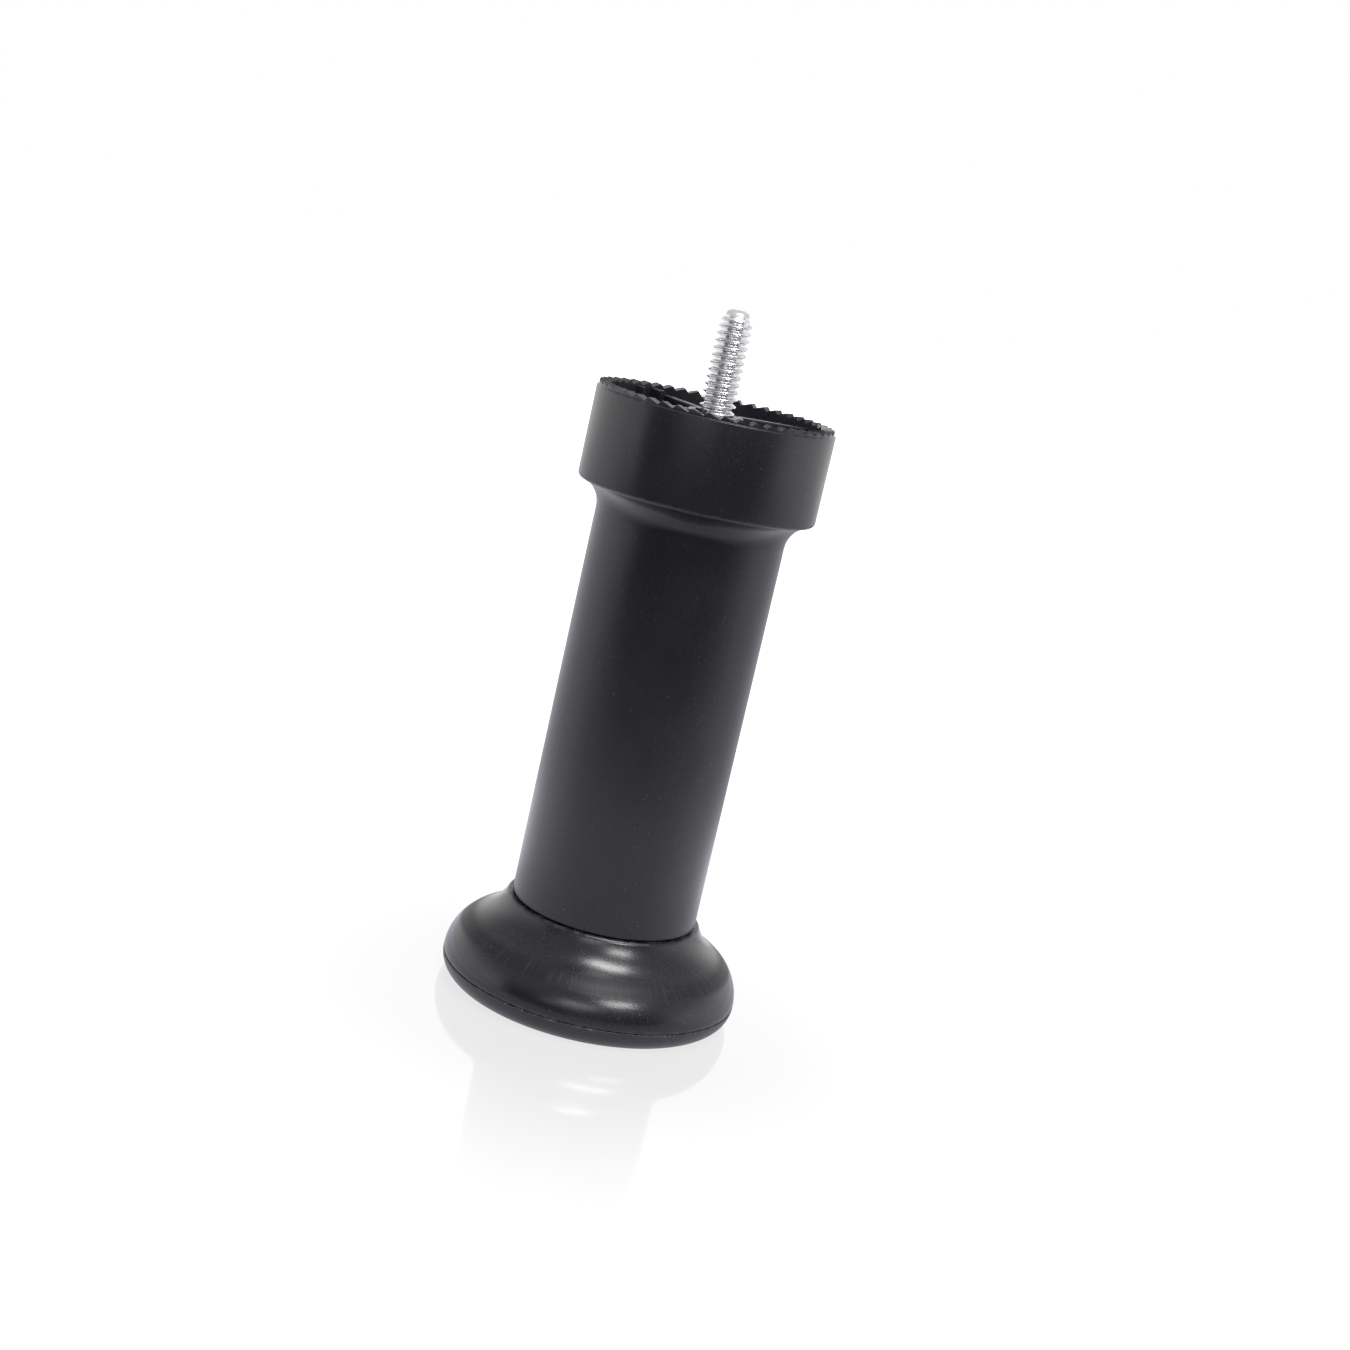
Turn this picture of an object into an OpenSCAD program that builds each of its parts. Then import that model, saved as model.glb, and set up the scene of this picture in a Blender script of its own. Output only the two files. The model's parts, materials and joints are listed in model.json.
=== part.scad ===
// Furniture leveling foot. A moulded leg stands on a round foot that screws into its
// lower end, so that turning the foot sets the height. At the top, a toothed collar
// grips the underside of the furniture around a steel stud with an inch thread.
// Z is up, z = 0 is the floor, and every piece is drawn with the foot screwed home.

/* [Leg] */
// Height from the floor to the tips of the collar's teeth
leg_h = 110.6; // [95:0.2:140]
// Outside diameter of the tube
tube_d = 34; // [28:0.5:44]
// Thickness of the tube's wall
tube_wall = 2.6; // [2:0.1:3.6]
// Height of the collar, from its lower edge to the tips of its teeth
collar_h = 17.2; // [14:0.2:24]
// How far the collar stands out beyond the tube
collar_step = 4.3; // [3:0.1:6]
// Round on the collar's lower edge
collar_edge = 0.8; // [0.4:0.1:1.2]
// Thickness of the collar's wall
rim_wall = 2.3; // [1.8:0.1:3]
// Chamfer on the rim, outside the teeth
rim_edge = 0.35; // [0.2:0.05:0.6]
// Thickness of the web that closes the top of the tube
web_t = 3.2; // [2.4:0.1:4.5]

/* [Teeth] */
// Number of teeth round the rim
tooth_count = 48; // [24:2:60]
// Height of a tooth
tooth_h = 0.8; // [0.5:0.05:1.2]
// Share of a tooth's pitch taken by its steep face
tooth_steep = 0.25; // [0.15:0.05:0.5]
// Angle of the first tooth's ridge
tooth_turn = 4.3; // [0:0.1:15]

/* [Ribs and boss] */
// Number of ribs between the boss and the collar
rib_count = 4; // [3:1:6]
// Thickness of a rib
rib_t = 1.6; // [1:0.1:2.5]
// Angle of the first rib
rib_turn = 33; // [0:1:90]
// Drop from the tooth valleys to the tops of the ribs
rib_drop = 0.8; // [0.4:0.1:2]
// Wall of the boss round the stud
boss_wall = 1.7; // [1.2:0.1:2.5]

/* [Stud] */
// Major diameter of the stud's thread, a quarter inch
stud_d = 6.35; // [5:0.05:8]
// Pitch of the stud's thread, twenty to the inch
stud_pitch = 1.27; // [1:0.01:1.5]
// Height of the stud above the teeth
stud_out = 16.5; // [12:0.5:25]
// Width across the flats of the stud's head
head_af = 11.11; // [9:0.01:14]
// Thickness of the stud's head
head_t = 4.14; // [3:0.01:5.5]
// Plastic left between the head and the collar's pockets
head_cover = 1.25; // [1:0.05:1.5]
// Gap round the stud and its head
stud_gap = 0.1; // [0.05:0.05:0.2]

/* [Foot] */
// Height of the hollow neck, from the foot's bulge up to its lip
neck_h = 5.05; // [4:0.05:6.2]
// How far the foot's widest ring stands out beyond the tube
foot_flare = 10.2; // [8:0.1:13]
// How far the foot's top edge stands out beyond the tube
lip_step = 0.9; // [0.4:0.1:1.5]
// Radius of the foot's bulge
bulge_r = 8.7; // [7:0.1:10.5]
// Slope, down from level, where the hollow neck turns into the bulge
crease_angle = 27; // [20:1:30]
// Thickness of the foot's shell
foot_wall = 2.4; // [1.8:0.1:3]
// Number of stiffening ribs inside the foot
foot_rib_count = 6; // [3:1:8]

/* [Sole] */
// Height from the floor to the joint between sole and foot
sole_h = 3.75; // [3:0.05:4.6]
// How far the sole's underside is drawn in from its widest ring
sole_draw = 2.6; // [1.5:0.1:3.2]
// Depth of the dish in the underside
dish_depth = 0.8; // [0.4:0.1:1.2]
// Thickness of the sole's plate above the dish
sole_plate = 2.2; // [1.6:0.1:2.8]
// Height of the ring that snaps into the foot
snap_h = 3.4; // [2.8:0.1:4]
// Thickness of the snap ring
snap_t = 2; // [1.5:0.1:2.5]
// Height that the snap bead stands out from its ring
snap_bead = 0.3; // [0.2:0.05:0.4]
// Gap between the sole and the foot that turns on it
snap_gap = 0.15; // [0.1:0.05:0.25]

/* [Height thread] */
// Pitch of the coarse thread, the height set by one turn
lift_pitch = 4; // [3.5:0.1:5]
// Height of the foot's spigot above the foot's top face
spigot_h = 26; // [22:0.5:34]
// Wall of the spigot, under its thread
spigot_wall = 2.6; // [2:0.1:3.2]
// Depth of a thread rib, from its wall to its crest
thread_h = 1.3; // [1:0.05:1.6]
// Radial gap between a thread's crest and the facing wall
crest_gap = 0.45; // [0.3:0.05:0.6]
// Play on each flank of the thread
flank_gap = 0.25; // [0.15:0.05:0.4]
// Narrowing of each flank for each millimetre of depth
flank_slope = 0.3; // [0.2:0.05:0.5]
// Turns of thread inside the tube
nut_turns = 3.5; // [2:0.5:5]
// Plain length at the tube's mouth, below its thread
nut_lead = 3; // [2:0.5:5]
// Gap between the tube's lower edge and the foot
seam_gap = 0.25; // [0.1:0.05:0.5]

/* [Hidden] */
$fn = 96;
eps = 0.05;             // overlap that joins solids, or carries a cut past a face
arc_step = 4.5;         // degrees between the points of a profile's arc

// Foot: the bulge's arc runs from the widest ring up to the crease, and the neck's
// arc leaves the crease at the same slope and ends at the lip
tube_r = tube_d / 2;
wide_r = tube_r + foot_flare;
crease_r = wide_r - bulge_r * (1 - sin(crease_angle));
crease_z = sole_h + bulge_r * cos(crease_angle);
lip_r = tube_r + lip_step;
lip_edge = 0.25;
ring_edge = 0.15;
bulge_start = 3;
neck_dx = crease_r - lip_r;
neck_r = (pow(neck_dx, 2) + pow(neck_h, 2))
    / (2 * (neck_h * cos(crease_angle) - neck_dx * sin(crease_angle)));
neck_sweep = 2 * (atan2(neck_h, neck_dx) - crease_angle);
foot_h = crease_z + neck_h + lip_edge;
foot_top_t = 3;
foot_rib_t = 1.6;
shoulder_in = 1;        // how far the hollow's shoulder lies inside the tube's radius

// Leg
bore_r = tube_r - tube_wall;
tube_z = foot_h + seam_gap;
tube_edge = 0.2;
collar_r = tube_r + collar_step;
collar_z = leg_h - collar_h;
cove_angle = 72;
cove_r = (collar_step - collar_edge) / (1 - cos(cove_angle));
cove_z = collar_z - cove_r * sin(cove_angle);
rim_in_r = collar_r - rim_wall;
tooth_out_r = collar_r - rim_edge;
valley_z = leg_h - tooth_h;
rim_edge_z = valley_z - 0.1;
web_z = collar_z + web_t;
rib_z = valley_z - rib_drop;
rib_end_r = rim_in_r + rim_wall / 2;

// Small gussets inside the collar, beside the second rib, and a nub on the boss
gusset_turn = rib_turn + 360 / rib_count + 6;
gusset_t = 3.8;
gusset_ridge_t = 1.2;
gusset_deep = 3;
gusset_z = rib_z - 1.6;
gusset_top_z = valley_z - 0.1;
fin_turn = gusset_turn + 12;
fin_t = 0.7;
fin_deep = 1.8;
nub_turn = rib_turn + 198;
nub_t = 1.5;
nub_inset = 0.15;
nub_h = 0.45;

// Stud and the boss that holds it
stud_r = stud_d / 2;
head_z = web_z - head_cover;
hex_r = head_af / 2 / cos(30);
stud_tip_z = leg_h + stud_out;
stud_root_r = 0.78 * stud_r;
thread_flank = (stud_r - stud_root_r) * tan(30);
thread_crest = stud_pitch / 8;
stud_tip_h = 1.6;
stud_tip_z0 = stud_tip_z - stud_tip_h;
stud_tip_flat = 0.3;    // share of the tip's radius that is flat
thread_gap = 0.2;       // plain shank between the boss and the thread
ridge_w = 2 * thread_flank + thread_crest;
boss_r = stud_r + stud_gap + boss_wall;
head_boss_r = hex_r + stud_gap + boss_wall;
head_boss_z = head_z - head_t - 0.4;

// Height thread
spigot_r = bore_r - crest_gap - thread_h;
spigot_in_r = spigot_r - spigot_wall;
spigot_top = foot_h + spigot_h;
foot_crest_r = spigot_r + thread_h;
nut_crest_r = spigot_r + crest_gap;
flank_mid_r = (foot_crest_r + nut_crest_r) / 2;
flank_mid_w = lift_pitch / 2 - flank_gap;
turn_steps = 24;
rib_bury = 0.6;         // how deep a thread rib's foot lies in its wall
rib_skin = 0.08;        // least depth of a rib's end inside its wall
runout_steps = 5;       // steps over which a rib rises from its wall
spigot_edge = 0.6;
foot_thread_z = foot_h + lift_pitch / 2;
foot_turns = floor((spigot_h - lift_pitch) / lift_pitch * 2) / 2;
nut_thread_z = foot_thread_z + lift_pitch / 2 + ceil(nut_lead / lift_pitch) * lift_pitch;

// Sole
sole_gap = 0.1;
sole_low_r = wide_r - sole_draw;
sole_round = (pow(sole_draw, 2) + pow(sole_h, 2)) / (2 * sole_draw);
shell_in_r = wide_r - foot_wall - 0.5;
snap_r = shell_in_r - snap_gap;
snap_top = sole_h + snap_h;
bead_z = sole_h + 0.6 * snap_h;
bead_h = 0.8;
snap_edge = 0.4;
snap_clear = 0.3;       // room above the snap ring
dish_margin = 5;        // width of the flat ring that stands on the floor
dish_r = sole_low_r - dish_margin;
plate_z = dish_depth + sole_plate;
hub_z = snap_top + 1.2;

// Points on an arc about [cx, cy], from angle a0 to a1, both ends included
function arc(cx, cy, r, a0, a1) =
    let (n = max(2, ceil(abs(a1 - a0) / arc_step)))
    [for (i = [0 : n])
        let (a = a0 + (a1 - a0) * i / n)
        [cx + r * cos(a), cy + r * sin(a)]];

// Width of a thread rib at radius r: the two ribs narrow away from their own walls
function foot_rib_w(r) = flank_mid_w - 2 * flank_slope * (r - flank_mid_r);
function nut_rib_w(r) = flank_mid_w + 2 * flank_slope * (r - flank_mid_r);

// Four corners of a thread rib's section at angle a
function rib_section(a, z, r_in, w_in, r_out, w_out) = [
    [r_in * cos(a), r_in * sin(a), z - w_in / 2],
    [r_out * cos(a), r_out * sin(a), z - w_out / 2],
    [r_out * cos(a), r_out * sin(a), z + w_out / 2],
    [r_in * cos(a), r_in * sin(a), z + w_in / 2]
];

// How much of its depth a rib has at step i of n: it runs out at both ends
function runout(i, n) = min(1, i / runout_steps, (n - i) / runout_steps);

// Solid that joins a row of four-cornered sections
module sweep_sections(sections) {
    last = len(sections) - 1;
    sides = [for (i = [0 : last - 1], k = [0 : 3])
        let (a = 4 * i + k, b = 4 * i + (k + 1) % 4)
        each [[a, b, a + 4], [b, b + 4, a + 4]]];
    ends = [[2, 1, 0], [3, 2, 0],
        [4 * last, 4 * last + 1, 4 * last + 2], [4 * last, 4 * last + 2, 4 * last + 3]];
    polyhedron(points = [for (s = sections) each s], faces = concat(sides, ends));
}

// The foot's thread: a rib that stands out from the spigot
module foot_thread() {
    steps = foot_turns * turn_steps;
    sweep_sections([for (i = [0 : steps])
        let (a = 360 * i / turn_steps,
            z = foot_thread_z + lift_pitch * i / turn_steps,
            base = spigot_r - rib_bury,
            crest = spigot_r - rib_skin + (thread_h + rib_skin) * runout(i, steps))
        rib_section(a, z, base, foot_rib_w(base), crest, foot_rib_w(crest))]);
}

// The tube's thread: a rib that stands in from the bore
module nut_thread() {
    steps = nut_turns * turn_steps;
    sweep_sections([for (i = [0 : steps])
        let (a = 360 * i / turn_steps,
            z = nut_thread_z + lift_pitch * i / turn_steps,
            base = bore_r + rib_bury,
            crest = bore_r + 2 * rib_skin
                - (bore_r - nut_crest_r + 2 * rib_skin) * runout(i, steps))
        rib_section(a, z, crest, nut_rib_w(crest), base, nut_rib_w(base))]);
}

// Bars that cut the rim into teeth: one for each valley, each open upwards
module tooth_cuts() {
    pitch = 2 * PI * tooth_out_r / tooth_count;
    steep = tooth_steep * pitch;
    gentle = pitch - steep;
    over = 1.25;
    margin = 1;
    for (i = [0 : tooth_count - 1])
        rotate((i + 1 - tooth_steep) * 360 / tooth_count + tooth_turn)
            translate([rim_in_r - margin, 0, valley_z])
                rotate([90, 0, 90])
                    linear_extrude(height = rim_wall + 2 * margin)
                        polygon([[0, 0], [steep * over, tooth_h * over],
                            [-gentle * over, tooth_h * over]]);
}

// A flat rib along a radius, from r0 to r1, between two heights
module spoke(turn, r0, r1, thickness, z0, z1) {
    rotate(turn)
        translate([r0, -thickness / 2, z0])
            cube([r1 - r0, thickness, z1 - z0]);
}

module collar_gussets() {
    spoke(gusset_turn, rim_in_r - gusset_deep, rib_end_r, gusset_t, web_z - eps, gusset_z);
    spoke(gusset_turn, rim_in_r - gusset_deep, rib_end_r, gusset_ridge_t,
        web_z - eps, gusset_top_z);
    spoke(fin_turn, rim_in_r - fin_deep, rib_end_r, fin_t, web_z - eps, gusset_top_z);
    spoke(nub_turn, stud_r + stud_gap + nub_inset, boss_r - nub_inset, nub_t,
        rib_z - eps, rib_z + nub_h);
}

module leg_tube() {
    color([0.05, 0.05, 0.055])
    difference() {
        union() {
            // Tube, cove, collar and web, as one turned shell
            rotate_extrude()
                polygon(concat(
                    [[bore_r, tube_z], [tube_r - tube_edge, tube_z], [tube_r, tube_z + tube_edge]],
                    arc(tube_r + cove_r, cove_z, cove_r, 180, 180 - cove_angle),
                    arc(collar_r - collar_edge, collar_z + collar_edge, collar_edge, -90, 0),
                    [[collar_r, rim_edge_z - rim_edge], [tooth_out_r, rim_edge_z],
                        [tooth_out_r, leg_h], [rim_in_r, leg_h], [rim_in_r, web_z],
                        [0, web_z], [0, collar_z], [bore_r, collar_z]]));
            // Ribs from the boss to the collar
            for (i = [0 : rib_count - 1])
                spoke(rib_turn + i * 360 / rib_count, 0, rib_end_r, rib_t, web_z - eps, rib_z);
            translate([0, 0, web_z - eps])
                cylinder(r = boss_r, h = rib_z - web_z + eps);
            translate([0, 0, head_boss_z])
                cylinder(r = head_boss_r, h = collar_z - head_boss_z + eps);
            collar_gussets();
            nut_thread();
        }
        tooth_cuts();
        // Pocket for the stud's head, and the hole for its shank
        translate([0, 0, head_boss_z - 1])
            cylinder(r = hex_r + stud_gap, h = head_z - head_boss_z + 1, $fn = 6);
        cylinder(r = stud_r + stud_gap, h = leg_h);
    }
}

module mounting_stud() {
    start_z = rib_z + thread_gap;
    ridges = 1 + floor((stud_tip_z0 - start_z - ridge_w) / stud_pitch);
    color([0.78, 0.79, 0.8])
    union() {
        rotate_extrude()
            polygon(concat(
                [[0, head_z - eps], [stud_root_r, head_z - eps]],
                [for (i = [0 : ridges - 1])
                    let (z = start_z + i * stud_pitch)
                    each [[stud_root_r, z], [stud_r, z + thread_flank],
                        [stud_r, z + thread_flank + thread_crest], [stud_root_r, z + ridge_w]]],
                [[stud_root_r, stud_tip_z0]],
                [for (a = [15 : 15 : 75])
                    [stud_root_r * (stud_tip_flat + (1 - stud_tip_flat) * cos(a)),
                        stud_tip_z0 + stud_tip_h * sin(a)]],
                [[stud_tip_flat * stud_root_r, stud_tip_z], [0, stud_tip_z]]));
        translate([0, 0, head_z - head_t])
            cylinder(r = hex_r, h = head_t, $fn = 6);
    }
}

module leveling_foot() {
    color([0.06, 0.06, 0.065])
    union() {
        difference() {
            // Outer shape of the foot and its spigot
            rotate_extrude()
                polygon(concat(
                    [[0, sole_h + sole_gap / 2], [wide_r - ring_edge, sole_h + sole_gap / 2]],
                    arc(wide_r - bulge_r, sole_h, bulge_r, bulge_start, 90 - crease_angle),
                    arc(crease_r + neck_r * sin(crease_angle), crease_z + neck_r * cos(crease_angle),
                        neck_r, 270 - crease_angle, 270 - crease_angle - neck_sweep),
                    [[lip_r - lip_edge, foot_h], [spigot_r, foot_h],
                        [spigot_r, spigot_top - spigot_edge], [spigot_r - spigot_edge, spigot_top],
                        [0, spigot_top]]));
            // Hollow of the foot, less its stiffening ribs
            difference() {
                rotate_extrude()
                    polygon([[0, 0], [shell_in_r, 0], [shell_in_r, bead_z - bead_h / 2 - sole_gap],
                        [shell_in_r + snap_bead, bead_z - bead_h / 4 - sole_gap],
                        [shell_in_r + snap_bead, bead_z + bead_h / 4 + sole_gap],
                        [shell_in_r, bead_z + bead_h / 2 + sole_gap],
                        [shell_in_r, snap_top + snap_clear],
                        [crease_r - foot_wall * sin(crease_angle),
                            crease_z - foot_wall * cos(crease_angle)],
                        [tube_r - shoulder_in, foot_h - foot_top_t],
                        [spigot_r, foot_h - foot_top_t],
                        [spigot_r, hub_z], [spigot_in_r, hub_z],
                        [spigot_in_r, spigot_top + 1], [0, spigot_top + 1]]);
                for (i = [0 : foot_rib_count - 1])
                    spoke(i * 360 / foot_rib_count, spigot_in_r + spigot_wall / 2,
                        wide_r, foot_rib_t, hub_z, foot_h);
            }
        }
        foot_thread();
    }
}

module foot_sole() {
    color([0.06, 0.06, 0.065])
    rotate_extrude()
        polygon(concat(
            [[0, dish_depth], [dish_r - dish_depth, dish_depth], [dish_r, 0]],
            arc(wide_r - sole_round, sole_h, sole_round,
                -asin(sole_h / sole_round), -asin(sole_gap / 2 / sole_round)),
            [[snap_r, sole_h - sole_gap / 2],
                [snap_r, bead_z - bead_h / 2], [snap_r + snap_bead, bead_z - bead_h / 4],
                [snap_r + snap_bead, bead_z + bead_h / 4], [snap_r, bead_z + bead_h / 2],
                [snap_r, snap_top - snap_edge], [snap_r - snap_edge, snap_top],
                [snap_r - snap_t, snap_top], [snap_r - snap_t, plate_z], [0, plate_z]]));
}

leg_tube();
mounting_stud();
leveling_foot();
foot_sole();
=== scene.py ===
"""Looks of a furniture leveling foot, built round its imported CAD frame.

Each CAD node has one detailed piece that stands for it: the leg with its toothed collar, the
threaded stud, the foot that screws into the leg, and the sole that the foot turns on.
Sizes are in millimetres until a mesh is made, and angles are in degrees."""
import json
import math

import bmesh
import bpy
from mathutils import Matrix, Vector


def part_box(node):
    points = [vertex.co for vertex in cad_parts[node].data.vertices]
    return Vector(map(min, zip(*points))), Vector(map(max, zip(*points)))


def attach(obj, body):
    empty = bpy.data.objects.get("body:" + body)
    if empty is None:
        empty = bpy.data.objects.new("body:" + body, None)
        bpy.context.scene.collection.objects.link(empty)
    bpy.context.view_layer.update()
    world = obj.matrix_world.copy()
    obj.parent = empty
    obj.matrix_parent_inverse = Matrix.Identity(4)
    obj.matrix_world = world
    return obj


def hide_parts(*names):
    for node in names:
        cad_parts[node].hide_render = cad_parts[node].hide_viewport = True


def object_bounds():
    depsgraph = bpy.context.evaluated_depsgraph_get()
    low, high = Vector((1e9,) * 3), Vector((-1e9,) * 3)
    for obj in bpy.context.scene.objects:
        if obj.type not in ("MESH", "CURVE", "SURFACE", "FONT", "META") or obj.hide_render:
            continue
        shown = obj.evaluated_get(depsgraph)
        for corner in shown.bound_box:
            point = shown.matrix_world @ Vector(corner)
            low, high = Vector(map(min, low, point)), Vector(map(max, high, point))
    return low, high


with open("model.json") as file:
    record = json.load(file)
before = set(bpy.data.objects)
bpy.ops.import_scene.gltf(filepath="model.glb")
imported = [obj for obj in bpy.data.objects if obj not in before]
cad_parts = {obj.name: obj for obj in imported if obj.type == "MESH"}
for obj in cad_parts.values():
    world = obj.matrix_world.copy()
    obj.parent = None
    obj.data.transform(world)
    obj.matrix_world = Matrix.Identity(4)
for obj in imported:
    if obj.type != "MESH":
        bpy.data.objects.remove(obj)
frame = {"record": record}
cad_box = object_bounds()

MM = 0.001
CLOSE = 0.001                   # two measures that differ by less are the same
ROUND_STEPS = 5                 # faces along each rounded corner
SHARP_ANGLE = 38                # edges that turn more than this stay sharp
STUD_SHARP_ANGLE = 75


def box_mm(node):
    """The lowest and highest corners of a CAD node."""
    low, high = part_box(node)
    return low / MM, high / MM


def cos(angle):
    return math.cos(math.radians(angle))


def sin(angle):
    return math.sin(math.radians(angle))


leg_low, leg_high = box_mm("leg_tube")
stud_low, stud_high = box_mm("mounting_stud")
foot_high = box_mm("leveling_foot")[1]
sole_high = box_mm("foot_sole")[1]
stud_mount = next(m for m in frame["record"]["mounts"] if m["name"] == "stud")

# Leg: the frame gives its outer sizes, and the steps, walls and rounds are those of the CAD
COLLAR_STEP = 4.3
COLLAR_H = 17.2
COLLAR_EDGE = 0.8
COVE_ANGLE = 72
TUBE_WALL = 2.6
RIM_WALL = 2.3
WEB_T = 3.2
leg_h = leg_high.z
tube_z = leg_low.z
collar_r = leg_high.x
tube_r = collar_r - COLLAR_STEP
bore_r = tube_r - TUBE_WALL
collar_z = leg_h - COLLAR_H
web_z = collar_z + WEB_T
rim_in_r = collar_r - RIM_WALL
cove_r = (COLLAR_STEP - COLLAR_EDGE) / (1 - cos(COVE_ANGLE))
cove_z = collar_z - cove_r * sin(COVE_ANGLE)

# Saw teeth on the rim
TOOTH_COUNT = 48
TOOTH_H = 0.8
TOOTH_TURN = 4.3                # the angle of one ridge
TOOTH_STEEP = 0.25              # share of a tooth under its steep face
# Columns of the mesh in one tooth, closer together at its ridge
TOOTH_STEPS = [0, 0.12, 0.215, 0.25, 0.29, 0.45, 0.65, 0.85]
RIM_EDGE = 0.35                 # chamfer outside the teeth
RIM_EDGE_H = 0.2                # lower than in the CAD, so that it doesn't glint
TOOTH_ROOT = 0.1                # how far the ring of teeth goes on below its valleys
valley_z = leg_h - TOOTH_H
tooth_out_r = collar_r - RIM_EDGE
tooth_low_z = valley_z - TOOTH_ROOT

# Ribs, a gusset with its fin, and a nub, all inside the collar
RIB_COUNT = 4
RIB_TURN = 33
RIB_T = 1.6
RIB_DROP = 0.8
RIB_EDGE = 0.25
BAR_SINK = 0.3                  # how far each bar reaches down into the web
BAR_IN_RIM = 0.6                # and out into the rim's wall
GUSSET_T = 3.8
GUSSET_RIDGE_T = 1.2
GUSSET_DEEP = 3
GUSSET_DROP = 1.6
FIN_T = 0.7
FIN_DEEP = 1.8
NUB_T = 1.5
NUB_H = 0.45
NUB_SINK = 1
rib_z = valley_z - RIB_DROP
bar_z = web_z - BAR_SINK
bar_end_r = rim_in_r + BAR_IN_RIM
gusset_turn = RIB_TURN + 360 / RIB_COUNT + 6
fin_turn = gusset_turn + 12
nub_turn = RIB_TURN + 198

# Stud and its boss
STUD_PITCH = 1.27
STUD_GAP = 0.1
STUD_ROOT = 0.78                # share of the stud's radius
THREAD_CREST = 0.125            # share of a pitch that is crest
THREAD_ROOT = 0.25              # share of a pitch that is root
THREAD_DIP = 0.04               # how far the root is hollowed
THREAD_END_SLOPE = 0.75         # how steeply the thread runs out at the tip
TIP_H = 1.6
TIP_FLAT = 0.3                  # share of the tip's radius that is flat
BOSS_WALL = 1.7
HEAD_COVER = 1.25               # the web's thickness over the head
SHANK_LAP = 0.1                 # how far the shank begins inside the head
HEAD_BOSS_LIP = 0.4             # how far its boss goes on below the head
stud_r = stud_mount["dims"]["r_mm"]
stud_root_r = STUD_ROOT * stud_r
stud_hole_r = stud_r + STUD_GAP
stud_tip_z = stud_high.z
thread_top_z = stud_tip_z - TIP_H
head_z = web_z - HEAD_COVER
head_low_z = stud_low.z
hex_flat_r = stud_high.y
pocket_flat_r = hex_flat_r + STUD_GAP
boss_r = stud_hole_r + BOSS_WALL
head_boss_r = hex_flat_r / cos(30) + STUD_GAP + BOSS_WALL
head_boss_z = head_low_z - HEAD_BOSS_LIP

# Foot
SOLE_H = 3.75
SEAM = 0.05                     # half the joint between sole and foot
SEAM_EDGE = 0.13                # how far both lie back at the joint
BULGE_R = 8.7
BULGE_START = 4                 # angle at which the bulge's arc begins, over the joint
CREASE_ANGLE = 27
CREASE_SOFT = 3                 # angle left out of the bulge's arc, at the crease
NECK_SOFT = 4                   # and of the neck's arc
NECK_H = 5.05
LIP_STEP = 0.9
LIP_EDGE = 0.25
TUBE_GAP = 0.25                 # between the tube's end and the foot
FOOT_TOP_T = 3
FOOT_WALL = 2.4
SHELL_WALL = 2.9
FOOT_RIB_COUNT = 6
FOOT_RIB_T = 1.6
FOOT_RIB_DROP = 5.5
HUB_GAP = 1.2                   # between the sole's ring and the foot's hub
wide_r = sole_high.x
lip_r = tube_r + LIP_STEP
foot_h = tube_z - TUBE_GAP
crease_r = wide_r - BULGE_R * (1 - sin(CREASE_ANGLE))
crease_z = SOLE_H + BULGE_R * cos(CREASE_ANGLE)
shell_in_r = wide_r - SHELL_WALL
snap_top = sole_high.z
hub_z = snap_top + HUB_GAP
shoulder_z = foot_h - FOOT_TOP_T

# Spigot and height thread
SPIGOT_WALL = 2.6
LIFT_PITCH = 4
LIFT_THREAD_H = 1.3
CREST_GAP = 0.45
FLANK_GAP = 0.25
FLANK_SLOPE = 0.3
RIB_ROOT_MORE = 0.5             # a thread rib is wider by this at its base, inside its wall
FADE_TURNS = 0.2                # turns over which a thread rib rises
FADE_START = 0.04               # share of its height that it starts with
NUT_TURNS = 3.5
spigot_top = foot_high.z
spigot_r = bore_r - CREST_GAP - LIFT_THREAD_H
spigot_in_r = spigot_r - SPIGOT_WALL
foot_crest_r = spigot_r + LIFT_THREAD_H
nut_crest_r = spigot_r + CREST_GAP
rib_mid_w = LIFT_PITCH / 2 - FLANK_GAP
rib_slope_w = FLANK_SLOPE * (foot_crest_r - nut_crest_r)
foot_thread_z = foot_h + LIFT_PITCH / 2
nut_thread_z = foot_thread_z + 1.5 * LIFT_PITCH

# Sole
SOLE_DRAW = 2.6                 # how much smaller the sole's radius is at the floor
DISH = 0.8
PLATE_T = 2.2
FLOOR_RING = 5                  # width of the flat ring that stands on the floor
SNAP_GAP = 0.15
SNAP_WALL = 2
ROUND_START = 4                 # angle left out of the sole's round, at the floor
ROUND_END_DROP = 0.12           # how far below the joint it ends
BEAD = 0.3
sole_edge_r = wide_r - SOLE_DRAW
ring_in_r = sole_edge_r - FLOOR_RING
plate_z = DISH + PLATE_T
snap_r = shell_in_r - SNAP_GAP
bead_z = SOLE_H + 0.6 * (snap_top - SOLE_H)


# ---------------------------------------------------------------- outlines

def arc(cx, cz, r, start, end, steps):
    """Points on an arc, both ends included."""
    turns = [start + (end - start) * i / steps for i in range(steps + 1)]
    return [(cx + r * cos(t), cz + r * sin(t)) for t in turns]


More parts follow.
